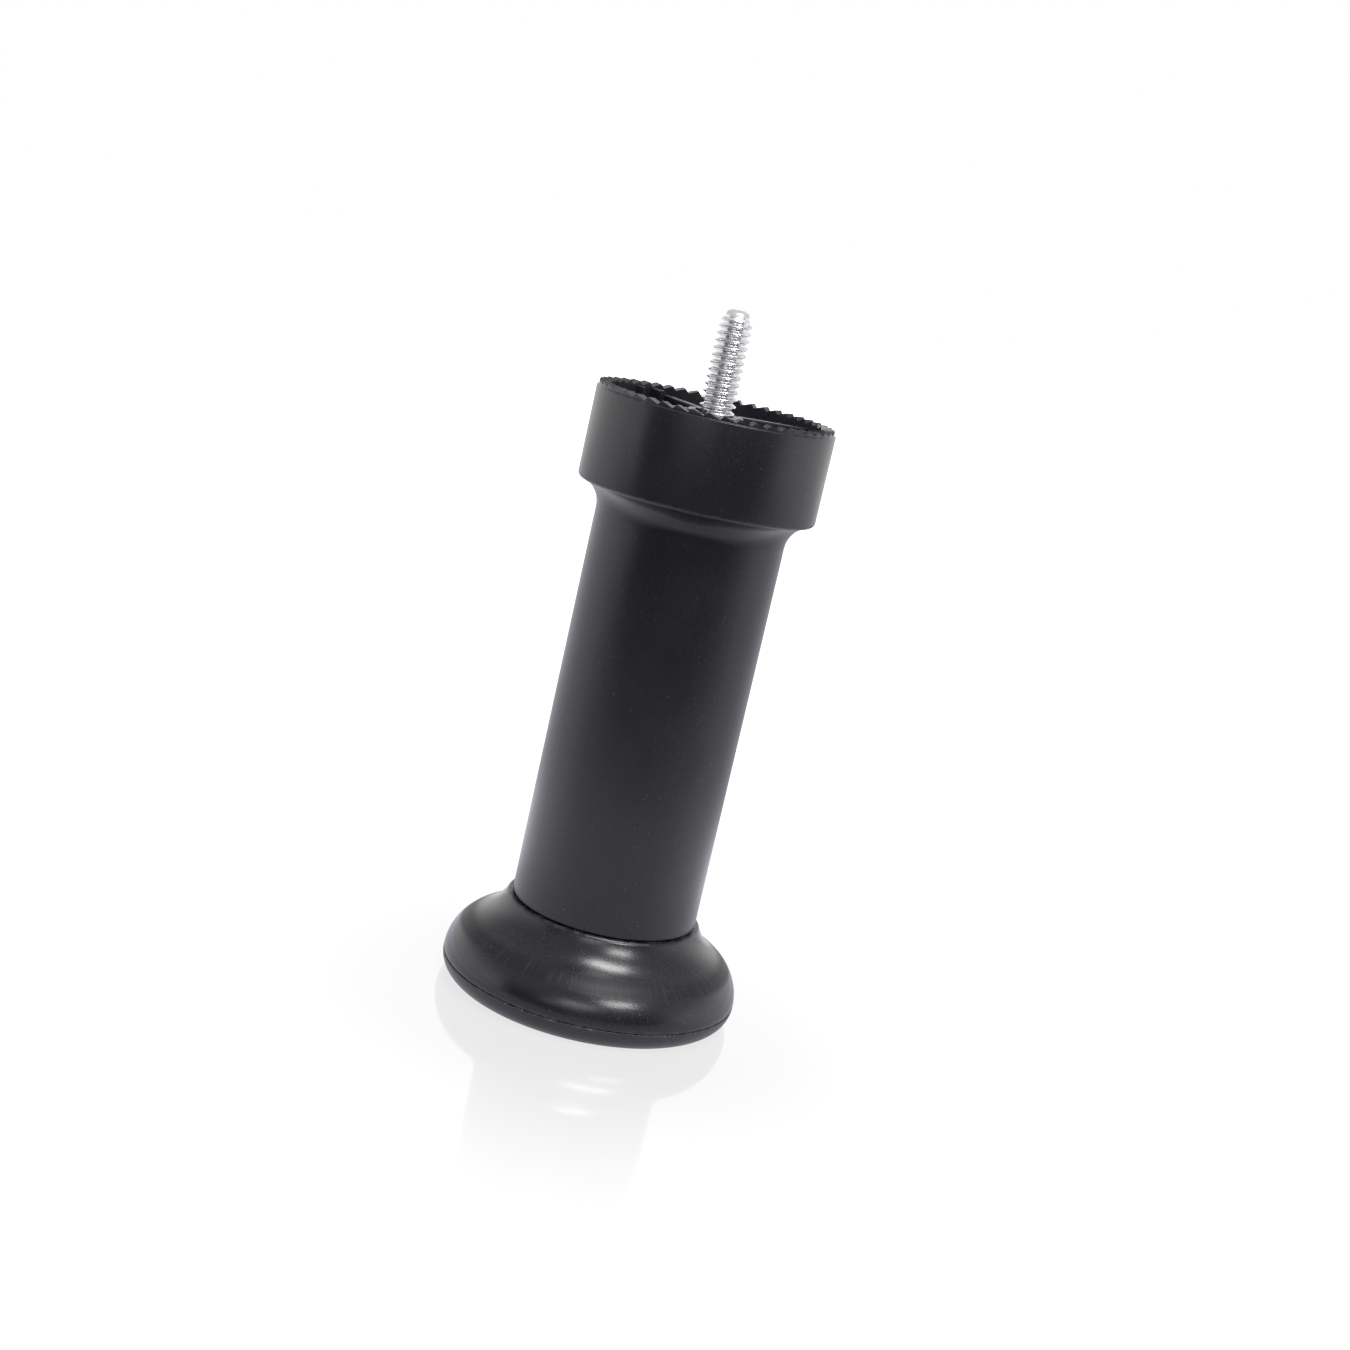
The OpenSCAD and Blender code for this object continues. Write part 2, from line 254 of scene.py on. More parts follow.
def rounded(outline):
    """A closed outline with each corner (x, z, radius) rounded; points (x, z) stay."""
    made = []
    for i, point in enumerate(outline):
        corner = Vector(point[:2])
        if len(point) == 2:
            made.append(corner)
            continue
        radius = point[2]
        back = (Vector(outline[i - 1][:2]) - corner).normalized()
        ahead = (Vector(outline[(i + 1) % len(outline)][:2]) - corner).normalized()
        half = back.angle(ahead) / 2
        centre = corner + (back + ahead).normalized() * radius / math.sin(half)
        first = corner + back * radius / math.tan(half) - centre
        last = corner + ahead * radius / math.tan(half) - centre
        turn = math.pi - 2 * half
        for k in range(ROUND_STEPS + 1):
            share = k / ROUND_STEPS
            swing = first * math.sin((1 - share) * turn) + last * math.sin(share * turn)
            made.append(centre + swing / math.sin(turn))
    return [tuple(p) for p in made]


# ------------------------------------------------------------ mesh building

class Shape:
    """Vertices and faces of one piece, in millimetres."""

    def __init__(self):
        self.points = []
        self.faces = []

    def add_grid(self, rows, closed_across, closed_along):
        """Joins rows of points into four-sided faces."""
        start, across, along = len(self.points), len(rows[0]), len(rows)
        for row in rows:
            self.points.extend(row)
        for i in range(along if closed_along else along - 1):
            for j in range(across if closed_across else across - 1):
                a = start + i * across
                b = start + (i + 1) % along * across
                k = (j + 1) % across
                self.faces.append([a + j, a + k, b + k, b + j])

    def add_ends(self, rows):
        """Closes the two ends of the grid that was added last."""
        last = len(self.points) - len(rows[-1])
        first = len(self.points) - len(rows) * len(rows[0])
        self.faces.append(list(range(first, first + len(rows[0]))))
        self.faces.append(list(range(last, len(self.points))))


def on_circle(point, angle):
    r, z = point
    return (r * cos(angle), r * sin(angle), z)


def even_angles(count):
    return [360 * i / count for i in range(count)]


def turned(shape, outline, angles, place=on_circle):
    """Turns a closed outline round Z; place(point, angle) gives each point."""
    shape.add_grid([[place(p, a) for p in outline] for a in angles], True, True)


def hexagon_r(flat_r, angle):
    """How far out a hexagon is at an angle."""
    return flat_r / cos(angle % 60 - 30)


def bar(shape, turn, r0, r1, width, z0, z1, edge):
    """A straight rib along a radius, with its upper edges rounded."""
    half = width / 2
    section = rounded([(-half, z0), (half, z0), (half, z1, edge), (-half, z1, edge)])
    axis = Vector((cos(turn), sin(turn)))
    side = Vector((-axis.y, axis.x))
    rows = []
    for r in (r0, r1):
        spots = [axis * r + side * x for x, z in section]
        rows.append([(s.x, s.y, p[1]) for s, p in zip(spots, section)])
    shape.add_grid(rows, True, False)
    shape.add_ends(rows)


def thread_rib(shape, wall_r, crest_r, z0, turns, steps):
    """A rib of the height thread. It rises from its wall at one end and sinks at the other."""
    rows = []
    edge = 0.15 * (crest_r - wall_r)
    root_half = (rib_mid_w + rib_slope_w + RIB_ROOT_MORE) / 2
    crest_half = (rib_mid_w - rib_slope_w) / 2
    for i in range(round(turns * steps) + 1):
        turn = i / steps
        share = min(1, turn / FADE_TURNS, (turns - turn) / FADE_TURNS)
        rise = FADE_START + (1 - FADE_START) * sin(90 * share)
        top = wall_r + (crest_r - wall_r) * rise
        upper = [(top, crest_half - 0.12), (top - edge, crest_half + 0.06),
                 (wall_r - 4 * edge, root_half)]
        lower = [(r, -dz) for r, dz in reversed(upper)]
        z = z0 + LIFT_PITCH * turn
        rows.append([on_circle((r, z + dz), 360 * turn) for r, dz in lower + upper])
    shape.add_grid(rows, True, False)
    shape.add_ends(rows)


def make_piece(shape, name, body, node, material, sharp=SHARP_ANGLE):
    """The finished piece: an object in metres that rides on its body and stands for a node."""
    mesh = bpy.data.meshes.new(name)
    mesh.from_pydata([Vector(p) * MM for p in shape.points], [], shape.faces)
    work = bmesh.new()
    work.from_mesh(mesh)
    bmesh.ops.remove_doubles(work, verts=work.verts, dist=0.5 * CLOSE * MM)
    bmesh.ops.recalc_face_normals(work, faces=work.faces)
    work.to_mesh(mesh)
    work.free()
    mesh.shade_smooth()
    mesh.set_sharp_from_angle(angle=math.radians(sharp))
    mesh.materials.append(material)
    piece = bpy.data.objects.new(name, mesh)
    bpy.context.scene.collection.objects.link(piece)
    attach(piece, body)
    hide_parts(node)


# ------------------------------------------------------------- shader nodes

def add_node(tree, kind, inputs, **settings):
    """A shader node with its settings and inputs: an input is a number, a colour or a socket."""
    node = tree.nodes.new("ShaderNode" + kind)
    for key, value in settings.items():
        setattr(node, key, value)
    for key, value in inputs.items():
        if isinstance(value, bpy.types.NodeSocket):
            tree.links.new(value, node.inputs[key])
        else:
            node.inputs[key].default_value = value
    return node


def own_place(tree, stretch=(1, 1, 1)):
    """The piece's own coordinates in metres, stretched for a pattern."""
    coords = add_node(tree, "TexCoord", {})
    scaled = add_node(tree, "Mapping", {"Vector": coords.outputs["Object"], "Scale": stretch})
    return scaled.outputs["Vector"]


def down_slope_place(tree):
    """Coordinates for a pattern that runs down the slope of a turned piece, as if unrolled."""
    flat = own_place(tree, (1, 1, 0))
    around = add_node(tree, "VectorMath", {0: flat}, operation="NORMALIZE").outputs[0]
    around = add_node(tree, "VectorMath", {0: around, "Scale": wide_r * MM}, operation="SCALE")
    down = own_place(tree, (0.04, 0.04, 0.04))
    return add_node(tree, "VectorMath", {0: around.outputs[0], 1: down}).outputs[0]


def distance_out(tree):
    """How far a point is from the object's foot, in metres."""
    return add_node(tree, "VectorMath", {0: own_place(tree)}, operation="LENGTH").outputs[1]


def maths(tree, operation, a, b):
    return add_node(tree, "Math", {0: a, 1: b}, operation=operation).outputs[0]


def spread(tree, value, low, high, to_low=0.0, to_high=1.0):
    """Maps value from low..high to to_low..to_high, smoothly, and holds it there."""
    made = add_node(tree, "MapRange", {"Value": value, "From Min": low, "From Max": high,
                                       "To Min": to_low, "To Max": to_high},
                    interpolation_type="SMOOTHSTEP")
    return made.outputs["Result"]


def noise(tree, scale, detail, place):
    made = add_node(tree, "TexNoise", {"Vector": place, "Scale": scale, "Detail": detail})
    return made.outputs["Fac"]


def spots(tree, scale, detail, low, high, stretch=(1, 1, 1)):
    """Spots where a noise is above low, in full where it is above high."""
    return spread(tree, noise(tree, scale, detail, own_place(tree, stretch)), low, high)


def add_share(tree, value, part, weight):
    """value + part * weight."""
    return maths(tree, "ADD", value, maths(tree, "MULTIPLY", part, weight))


def mix_colour(tree, share, a, b, weight=1):
    """Colour a with colour b over it, by share times weight."""
    share = share if weight == 1 else maths(tree, "MULTIPLY", share, weight)
    made = add_node(tree, "Mix", {0: share, 6: a, 7: b}, data_type="RGBA")
    return made.outputs[2]


def height_band(tree, centre, half, soft):
    """1 within half of a height, in millimetres, and 0 beyond soft more."""
    split = add_node(tree, "SeparateXYZ", {0: own_place(tree)})
    away = maths(tree, "ABSOLUTE", maths(tree, "SUBTRACT", split.outputs[2], centre * MM), 0)
    return spread(tree, away, half * MM, (half + soft) * MM, 1.0, 0.0)


def start_material(name):
    material = bpy.data.materials.new(name)
    material.use_nodes = True
    return material, material.node_tree, material.node_tree.nodes["Principled BSDF"]


# ---------------------------------------------------------------- materials

def grey(level, blue=1.35):
    """A grey, slightly blue: the plastic's blue is 1.35 times its red."""
    return (level, level, level * blue, 1)


WHITE = (1, 1, 1, 1)
BLACK = (0, 0, 0, 1)
DUST = grey(0.07, 1.03)
CHIP = grey(0.11, 1.03)
WORN = grey(0.06, 1.04)
FLASH = grey(0.3, 1.0)
SCRATCH = grey(0.035, 1.1)
ZINC_DARK = (0.82, 0.83, 0.85, 1)
ZINC_LIGHT = (0.95, 0.95, 0.96, 1)
ZINC_SPOT = (0.5, 0.5, 0.52, 1)
BUMP_H = 0.02                   # height of a material's relief
PLASTIC_IOR = 1.5
SPECULAR = 0.5                  # Blender's usual level


def finish_surface(tree, shader, colour, shine, relief, strength):
    """Links colour, roughness and relief to a shader."""
    bump = add_node(tree, "Bump", {"Strength": strength, "Distance": BUMP_H * MM, "Height": relief})
    tree.links.new(colour, shader.inputs["Base Color"])
    tree.links.new(shine, shader.inputs["Roughness"])
    tree.links.new(bump.outputs["Normal"], shader.inputs["Normal"])


def plastic(name, base, roughness, grain, specks, worn_bands, flash_band=None, scuff_band=None):
    """Black moulded plastic: mottling, draw marks along Z, dust, chips, rubs and worn bands.

    A band is a height, its half width and its soft edge. The flash band has pale flecks, and
    the scuffed band is duller, with fine scratches down the slope."""
    material, tree, shader = start_material(name)
    mottle = noise(tree, 60, 4, own_place(tree))
    streaks = noise(tree, 1500, 2, own_place(tree, (1, 1, 0.02)))
    fine = noise(tree, 3200, 2, own_place(tree))
    chip = spots(tree, 2000, 1, 0.7, 0.78)
    rub = maths(tree, "MULTIPLY", spots(tree, 2400, 1, 0.68, 0.76, (1, 1, 0.1)),
                spots(tree, 45, 2, 0.5, 0.68))
    marks = add_share(tree, maths(tree, "MULTIPLY", chip, specks), rub, specks * 0.6)
    dusty = spread(tree, noise(tree, 90, 2, own_place(tree)), 0.42, 0.6, 0.15, 1.0)
    dust = maths(tree, "MULTIPLY", spots(tree, 4200, 1, 0.58, 0.7), dusty)
    worn = 0.0
    for band in worn_bands:
        worn = maths(tree, "ADD", worn, height_band(tree, *band))
    worn = maths(tree, "MULTIPLY", worn, spots(tree, 700, 4, 0.42, 0.62))

    colour = mix_colour(tree, mottle, grey(base * 0.8), grey(base * 1.25))
    colour = mix_colour(tree, dust, colour, DUST, 0.3)
    colour = mix_colour(tree, marks, colour, CHIP)
    colour = mix_colour(tree, worn, colour, WORN, 0.4)
    shine = maths(tree, "ADD",
                  spread(tree, streaks, 0.3, 0.7, roughness - 0.006, roughness + 0.006),
                  spread(tree, mottle, 0.3, 0.7, -0.02, 0.03))
    shine = add_share(tree, shine, marks, 0.1)
    shine = add_share(tree, shine, worn, 0.15)
    relief = add_share(tree, maths(tree, "MULTIPLY", fine, 0.6), streaks, 0.015)
    relief = add_share(tree, relief, chip, specks)

    if flash_band:
        flecks = maths(tree, "MULTIPLY", spots(tree, 2600, 3, 0.62, 0.68),
                       height_band(tree, *flash_band))
        colour = mix_colour(tree, flecks, colour, FLASH, 0.5)
    if scuff_band:
        scuffed = height_band(tree, *scuff_band)
        lines = spread(tree, noise(tree, 2400, 2, down_slope_place(tree)), 0.56, 0.66)
        scratches = maths(tree, "MULTIPLY", scuffed, lines)
        colour = mix_colour(tree, scratches, colour, SCRATCH, 0.5)
        shine = add_share(tree, shine, scuffed, 0.18)
        relief = add_share(tree, relief, scratches, 0.8)
        tree.links.new(add_share(tree, SPECULAR, scuffed, -0.28),
                       shader.inputs["Specular IOR Level"])

    shader.inputs["IOR"].default_value = PLASTIC_IOR
    finish_surface(tree, shader, colour, shine, relief, grain)
    return material


def zinc(name):
    """Bright zinc plate: cloudy roughness, rolling marks round the thread, dull spots."""
    material, tree, shader = start_material(name)
    cloud = noise(tree, 500, 4, own_place(tree))
    rolled = noise(tree, 3000, 2, own_place(tree, (0.08, 0.08, 1)))
    dull = spots(tree, 1300, 2, 0.62, 0.72)
    colour = mix_colour(tree, cloud, ZINC_DARK, ZINC_LIGHT)
    colour = mix_colour(tree, dull, colour, ZINC_SPOT, 0.5)
    shine = add_share(tree, spread(tree, cloud, 0.3, 0.7, 0.15, 0.26), dull, 0.2)
    shader.inputs["Metallic"].default_value = 0.8
    finish_surface(tree, shader, colour, shine, rolled, 0.35)
    return material


# ------------------------------------------------------------------- pieces

def tooth_rise(angle):
    """How high the toothed rim stands at an angle, from 0 in a valley to 0.96 on a worn ridge."""
    place = ((angle - TOOTH_TURN) * TOOTH_COUNT / 360 + TOOTH_STEEP) % 1
    rise = min(place / TOOTH_STEEP, (1 - place) / (1 - TOOTH_STEEP))
    return 0.96 * rise ** 0.97 if rise < 0.9 else 0.87 + 0.9 * (rise - 0.9)


def rim_angles():
    """Columns of the leg's mesh, the same for each tooth."""
    pitch = 360 / TOOTH_COUNT
    return [TOOTH_TURN + (i + s - TOOTH_STEEP) * pitch
            for i in range(TOOTH_COUNT) for s in TOOTH_STEPS]


def on_leg(point, angle):
    """Places a point of the leg's outline: the rim has teeth and the head's pocket six sides."""
    r, z = point
    if z > valley_z + CLOSE:
        z = valley_z + (z - valley_z) * tooth_rise(angle) * r / tooth_out_r
    if abs(r - pocket_flat_r) < CLOSE:
        r = hexagon_r(pocket_flat_r, angle)
    return on_circle((r, z), angle)


def add_inner_bars(shape):
    """The ribs from the boss to the rim, the gusset, its fin and the nub on the boss."""
    for i in range(RIB_COUNT):
        bar(shape, RIB_TURN + i * 360 / RIB_COUNT, stud_r + 0.8, bar_end_r, RIB_T, bar_z, rib_z,
            RIB_EDGE)
    gusset_r = rim_in_r - GUSSET_DEEP
    bar(shape, gusset_turn, gusset_r, bar_end_r, GUSSET_T, bar_z, rib_z - GUSSET_DROP, 0.6)
    bar(shape, gusset_turn, gusset_r, bar_end_r, GUSSET_RIDGE_T, bar_z, tooth_low_z, 0.3)
    bar(shape, fin_turn, rim_in_r - FIN_DEEP, bar_end_r, FIN_T, bar_z, tooth_low_z, 0.2)
    bar(shape, nub_turn, stud_r + 0.25, boss_r - 0.15, NUB_T, rib_z - NUB_SINK, rib_z + NUB_H,
        0.2)


def make_leg(material):
    shape = Shape()
    teeth_z = valley_z + 0.01
    outline = rounded(
        [(bore_r, tube_z, 0.3), (tube_r, tube_z, 0.2)]
        + arc(tube_r + cove_r, cove_z, cove_r, 180, 180 - COVE_ANGLE, 24)
        + arc(collar_r - COLLAR_EDGE, collar_z + COLLAR_EDGE, COLLAR_EDGE, -90, 0, 8)
        + [(collar_r, tooth_low_z - RIM_EDGE_H, 0.1), (tooth_out_r, tooth_low_z),
           (tooth_out_r, teeth_z), (tooth_out_r, leg_h), (rim_in_r, leg_h), (rim_in_r, teeth_z),
           (rim_in_r, web_z, 0.5), (stud_hole_r, web_z), (stud_hole_r, head_z),
           (pocket_flat_r, head_z), (pocket_flat_r, head_boss_z),
           (head_boss_r, head_boss_z, 0.3), (head_boss_r, collar_z, 0.5), (bore_r, collar_z, 0.5)])
    turned(shape, outline, rim_angles(), on_leg)
    boss = rounded([(stud_hole_r, bar_z), (boss_r, bar_z), (boss_r, rib_z, 0.3),
                    (stud_hole_r, rib_z, 0.2)])
    turned(shape, boss, even_angles(96))
    add_inner_bars(shape)
    thread_rib(shape, bore_r, nut_crest_r, nut_thread_z, NUT_TURNS, 72)
    make_piece(shape, "leg", "leg", "leg_tube", material)


def thread_radius(share, z):
    """Radius of the stud at a share of its pitch: root, flank, crest, flank."""
    away = abs(share - 0.5) * 2
    root_from = 1 - THREAD_ROOT
    rise = min(1, max(0, (root_from - away) / (root_from - THREAD_CREST)))
    dip = THREAD_DIP * max(0, away - root_from) / THREAD_ROOT
    full = stud_root_r + (stud_r - stud_root_r) * rise - dip
    cone = stud_root_r + max(0, thread_top_z + 0.1 - z) * THREAD_END_SLOPE
    return min(full, cone)


def add_helix(shape, angles, z0):
    """The stud's thread from z0 up: a right-handed helix, flattened to circles at both ends."""
    columns, rows = len(angles), 16
    count = rows * (math.ceil((thread_top_z - z0) / STUD_PITCH) + 1)
    for i in range(count):
        for j, angle in enumerate(angles):
            z = z0 + STUD_PITCH * (i / rows - 1 + j / columns)
            r = thread_radius(i / rows % 1, z) if z0 < z < thread_top_z else stud_root_r
            shape.points.append(on_circle((r, min(max(z, z0), thread_top_z)), angle))
    for i in range(count - 1):
        for j in range(columns):
            a = i * columns + j
            b = a + 1 if j < columns - 1 else (i + rows) * columns
            if b + columns < len(shape.points):
                shape.faces.append([a, b, b + columns, a + columns])


def make_stud(material):
    shape = Shape()
    angles = even_angles(96)
    thread_z = head_z + 1.5 * STUD_PITCH
    shank_z = head_z - SHANK_LAP
    add_helix(shape, angles, thread_z)
    shape.add_grid([[on_circle((stud_root_r, z), a) for a in angles] for z in (shank_z, thread_z)],
                   True, False)
    tip = [(stud_root_r * (TIP_FLAT + (1 - TIP_FLAT) * c), thread_top_z + TIP_H * s)
           for c, s in arc(0, 0, 1, 0, 90, 10)[:-1]]
    tip += [(stud_root_r * TIP_FLAT, stud_tip_z), (0, stud_tip_z)]
    shape.add_grid([[on_circle(p, a) for a in angles] for p in tip], True, False)
    head = rounded([(0, head_low_z), (hex_flat_r, head_low_z, 0.2), (hex_flat_r, head_z, 0.2),
                    (stud_root_r, shank_z)])
    turned(shape, head, angles, lambda p, a: on_circle(
        (hexagon_r(p[0], a) if p[0] > stud_r else p[0], p[1]), a))
    make_piece(shape, "stud", "leg", "mounting_stud", material, STUD_SHARP_ANGLE)


def make_foot(material):
    shape = Shape()
    neck_dx = crease_r - lip_r
    neck_r = ((neck_dx ** 2 + NECK_H ** 2)
              / (2 * (NECK_H * cos(CREASE_ANGLE) - neck_dx * sin(CREASE_ANGLE))))
    neck_sweep = 2 * (math.degrees(math.atan2(NECK_H, neck_dx)) - CREASE_ANGLE)
    neck_start = 270 - CREASE_ANGLE
    outline = rounded(
        [(shell_in_r, SOLE_H + SEAM), (wide_r - SEAM_EDGE, SOLE_H + SEAM, 0.08)]
        + arc(wide_r - BULGE_R, SOLE_H, BULGE_R, BULGE_START, 90 - CREASE_ANGLE - CREASE_SOFT, 40)
        + arc(crease_r + neck_r * sin(CREASE_ANGLE), crease_z + neck_r * cos(CREASE_ANGLE), neck_r,
              neck_start - NECK_SOFT, neck_start - neck_sweep, 24)
        + [(lip_r - LIP_EDGE, foot_h, 0.12), (spigot_r, foot_h, 0.3),
           (spigot_r, spigot_top, 0.6), (spigot_in_r, spigot_top, 0.3), (spigot_in_r, hub_z, 0.3),
           (spigot_r, hub_z, 0.3), (spigot_r, shoulder_z, 0.5), (tube_r - 1, shoulder_z),
           (crease_r - FOOT_WALL * sin(CREASE_ANGLE), crease_z - FOOT_WALL * cos(CREASE_ANGLE)),
           (shell_in_r, snap_top + 0.3), (shell_in_r, bead_z + 0.5),
           (shell_in_r + BEAD, bead_z + 0.3), (shell_in_r + BEAD, bead_z - 0.3),
           (shell_in_r, bead_z - 0.5)])
    turned(shape, outline, even_angles(288))
    spigot_turns = math.floor((spigot_top - foot_h - LIFT_PITCH) / LIFT_PITCH * 2) / 2
    thread_rib(shape, spigot_r, foot_crest_r, foot_thread_z, spigot_turns, 96)
    for angle in even_angles(FOOT_RIB_COUNT):
        bar(shape, angle, spigot_r - 0.5, shell_in_r - 3.5, FOOT_RIB_T, hub_z,
            foot_h - FOOT_RIB_DROP, 0.2)
    make_piece(shape, "foot", "foot", "leveling_foot", material)


def make_sole(material):
    shape = Shape()
    round_r = (SOLE_DRAW ** 2 + SOLE_H ** 2) / (2 * SOLE_DRAW)
    start = ROUND_START - math.degrees(math.asin(SOLE_H / round_r))
    end = -math.degrees(math.asin(ROUND_END_DROP / round_r))
    outline = rounded(
        [(0, DISH), (ring_in_r - DISH, DISH, 0.4), (ring_in_r, 0, 0.4), (sole_edge_r, 0, 0.35)]
        + arc(wide_r - round_r, SOLE_H, round_r, start, end, 24)
        + [(wide_r - SEAM_EDGE, SOLE_H - SEAM, 0.05), (snap_r, SOLE_H - SEAM),
           (snap_r, bead_z - 0.4), (snap_r + BEAD, bead_z - 0.2), (snap_r + BEAD, bead_z + 0.2),
           (snap_r, bead_z + 0.4), (snap_r, snap_top, 0.4), (snap_r - SNAP_WALL, snap_top, 0.3),
           (snap_r - SNAP_WALL, plate_z, 0.4), (0, plate_z)])
    turned(shape, outline, even_angles(288))
    make_piece(shape, "sole", "sole", "foot_sole", material)


make_leg(plastic("leg_satin_black", 0.0145, 0.28, 0.25, 0.35,
                 [(leg_h, 0.3, 0.5), (collar_z + 0.3, 0.2, 0.5), (tube_z, 0.1, 0.2)]))
make_stud(zinc("zinc_plate"))
make_foot(plastic("foot_gloss_black", 0.011, 0.24, 0.5, 0.4,
                  [(foot_h, 0.1, 0.3), (SOLE_H, 0.2, 0.6)], (SOLE_H + 0.1, 0.05, 0.12),
                  (10.3, 0.5, 1.1)))
make_sole(plastic("sole_satin_black", 0.016, 0.38, 0.4, 0.5,
                  [(SOLE_H, 0.2, 0.5), (0, 0.3, 0.6)], (SOLE_H - 0.1, 0.08, 0.15)))


# -------------------------------------------------------- camera and studio

CAMERA_PLACE = (0, -0.3655, 0.1399)
CAMERA_YAW = 0.508
CAMERA_PITCH = -12.045
CAMERA_ROLL = 12.909
LENS = 55.78
STAGE_R = 3000
FLOOR_Z = -0.01
TABLE_Z = -1


def axes_from(yaw, pitch, roll):
    """Camera axes from yaw about Z, pitch above level and roll."""
    ahead = Vector((sin(yaw) * cos(pitch), cos(yaw) * cos(pitch), sin(pitch)))
    level = Vector((cos(yaw), -sin(yaw), 0))
    upward = level.cross(ahead)
    right = level * cos(roll) + upward * sin(roll)
    up = upward * cos(roll) - level * sin(roll)
    return right, up, -ahead


def add_camera():
    data = bpy.data.cameras.new("camera")
    data.sensor_width = 36
    data.lens = LENS
    data.clip_start = 0.01
    data.clip_end = 50
    camera = bpy.data.objects.new("camera", data)
    turn = Matrix(axes_from(CAMERA_YAW, CAMERA_PITCH, CAMERA_ROLL)).transposed().to_4x4()
    camera.matrix_world = Matrix.Translation(CAMERA_PLACE) @ turn
    bpy.context.scene.collection.objects.link(camera)
    bpy.context.scene.camera = camera


def add_light(name, azimuth, elevation, distance, width, height, power):
    """A soft box aimed at the object. Azimuth 0 is in front of it, and 90 is on its right."""
    target = (cad_box[0] + cad_box[1]) / 2
    away = Vector((sin(azimuth) * cos(elevation), -cos(azimuth) * cos(elevation), sin(elevation)))
    data = bpy.data.lights.new(name, "AREA")
    data.shape = "RECTANGLE"
    data.size = width
    data.size_y = height
    data.energy = power
    light = bpy.data.objects.new(name, data)
    light.location = target + away * distance
    light.rotation_mode = "QUATERNION"
    light.rotation_quaternion = away.to_track_quat("Z", "Y")
    bpy.context.scene.collection.objects.link(light)


def add_ground(name, points, faces, material):
    """A surface of the stage. It goes with the sole, so that the foot stands on it in any pose."""
    mesh = bpy.data.meshes.new(name)
    mesh.from_pydata([Vector(p) * MM for p in points], [], faces)
    mesh.shade_smooth()
    mesh.materials.append(material)
    ground = bpy.data.objects.new(name, mesh)
    bpy.context.scene.collection.objects.link(ground)
    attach(ground, "sole")
    return ground


def glowing(name, level, tint=WHITE):
    """A surface that only glows; level is a number or is linked later."""
    material, _, shader = start_material(name)
    shader.inputs["Base Color"].default_value = BLACK
    shader.inputs["Specular IOR Level"].default_value = 0
    shader.inputs["Emission Color"].default_value = tint
    shader.inputs["Emission Strength"].default_value = level
    return material


def table_glow():
    """The table as the object's gloss shows it: brightest in a ring, and dark far in front."""
    material = glowing("table_glow", 0, (0.98, 0.96, 1.04, 1))
    tree = material.node_tree
    x, y, _ = add_node(tree, "SeparateXYZ", {0: own_place(tree)}).outputs
    radius = distance_out(tree)
    sides = spread(tree, x, -0.1, 0.1, 1.05, 0.8)
    ring = maths(tree, "SUBTRACT", spread(tree, radius, 0.06, 0.08, 0, 0.45),
                 spread(tree, radius, 0.11, 0.15, 0, 0.5))
    front = maths(tree, "MULTIPLY", spread(tree, y, -0.18, -0.1),
                  spread(tree, y, -0.08, 0, 0.62, 1))
    glow = maths(tree, "MULTIPLY", maths(tree, "ADD", sides, ring), front)
    tree.links.new(glow, tree.nodes["Principled BSDF"].inputs["Emission Strength"])
    return material


def floor_with_painted_shadow():
    """A pale table top, slightly glossy, with a painted shadow round the foot: it glows less near
    the foot and brightens outwards until it meets the backdrop.
    """
    material, tree, shader = start_material("table_white_painted_shadow")
    # painted shadow: the floor's glow is dimmer within a few centimetres of the foot
    glow = spread(tree, distance_out(tree), 0.03, 0.1, 0.76, 0.96)
    tree.links.new(glow, shader.inputs["Emission Strength"])
    shader.inputs["Base Color"].default_value = (0.05, 0.05, 0.05, 1)
    shader.inputs["Roughness"].default_value = 0.06
    shader.inputs["IOR"].default_value = 1.7
    shader.inputs["Emission Color"].default_value = WHITE
    return material


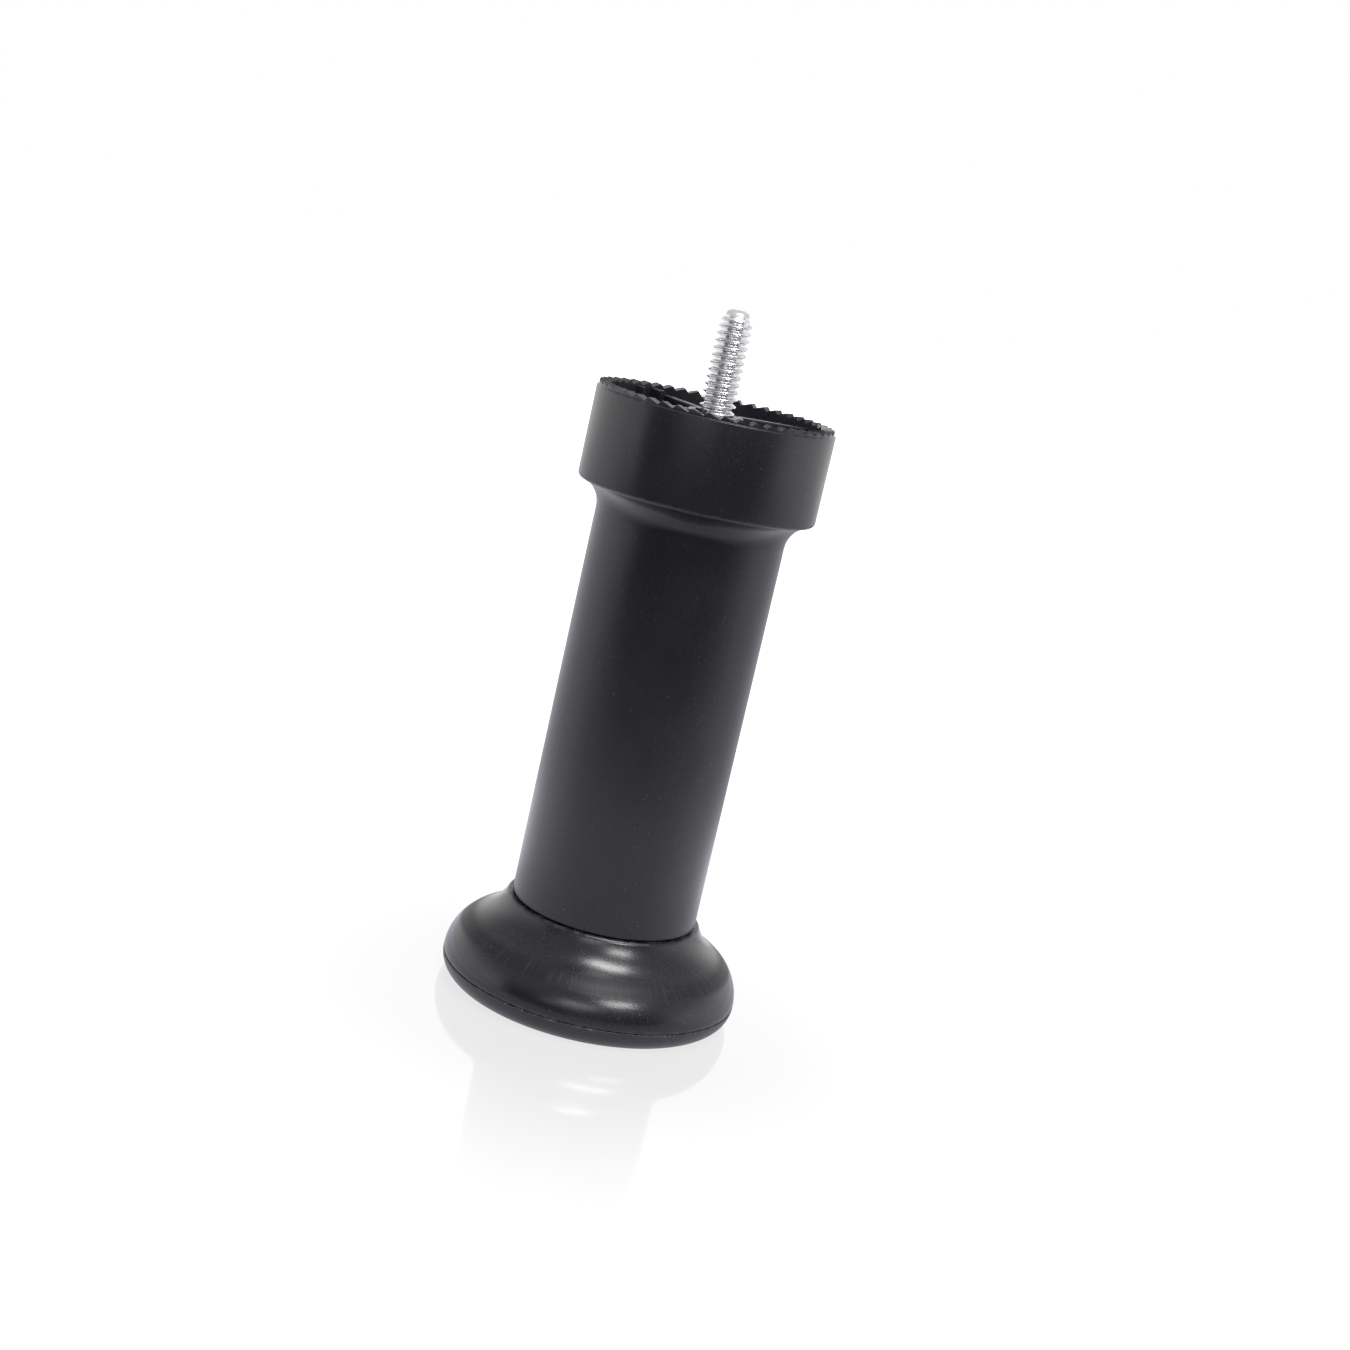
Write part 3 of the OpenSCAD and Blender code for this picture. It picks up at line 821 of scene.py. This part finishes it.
def add_studio():
    """A pale floor with a painted shadow round the foot and a pale dome, which gloss doesn't show,
    and the table that it shows.
    """
    angles = even_angles(96)
    ring = [on_circle((STAGE_R, FLOOR_Z), a) for a in angles]
    floor = add_ground("floor", ring, [list(range(len(ring)))], floor_with_painted_shadow())
    dome = Shape()
    side_line = arc(0, FLOOR_Z, STAGE_R, 0, 90, 24)
    dome.add_grid([[on_circle(p, a) for p in side_line] for a in angles], False, True)
    backdrop = add_ground("backdrop", dome.points, dome.faces, glowing("backdrop_white", 1.0))
    for surface in (floor, backdrop):
        surface.visible_glossy = False
        surface.visible_diffuse = False
    front, back, side = -200, 600, 700
    corners = [(-side, front, TABLE_Z), (side, front, TABLE_Z), (side, back, TABLE_Z),
               (-side, back, TABLE_Z)]
    table = add_ground("table_in_gloss", corners, [[0, 1, 2, 3]], table_glow())
    table.visible_camera = False
    table.visible_shadow = False


def set_world(front_level, left_level, right_level, sky_level):
    """A white tent round the object, open in front: a sharp left edge and a soft right one."""
    world = bpy.data.worlds.new("world")
    world.use_nodes = True
    tree = world.node_tree
    coords = add_node(tree, "TexCoord", {})
    x, y, z = add_node(tree, "SeparateXYZ", {0: coords.outputs["Generated"]}).outputs
    level_part = maths(tree, "SUBTRACT", 1.0001, maths(tree, "MULTIPLY", z, z))
    ahead = maths(tree, "DIVIDE", maths(tree, "MULTIPLY", y, -1),
                  maths(tree, "SQRT", level_part, 0))
    left = spread(tree, ahead, 0.40, 0.48, left_level, front_level)
    right = spread(tree, ahead, 0.1, 0.62, right_level, front_level)
    on_right = spread(tree, x, -0.01, 0.01)
    wall = add_node(tree, "Mix", {0: on_right, 2: left, 3: right}).outputs[0]
    upward = spread(tree, z, 0.12, 0.6)
    light = add_node(tree, "Mix", {0: upward, 2: wall, 3: sky_level}).outputs[0]
    background = tree.nodes["Background"]
    background.inputs["Color"].default_value = WHITE
    tree.links.new(light, background.inputs["Strength"])
    bpy.context.scene.world = world


add_camera()
add_studio()
set_world(0.015, 1.3, 1.2, 0.45)
add_light("high_box", 36, 71, 0.8, 0.36, 0.2, 5.2)
add_light("front_box", 32, 37, 0.8, 0.28, 0.13, 2.4)
add_light("low_box", -2, 22, 0.8, 0.36, 0.12, 0.6)
add_light("stud_card", -14, 10, 0.45, 0.26, 0.08, 0.07)
bpy.context.scene.view_settings.view_transform = "Standard"
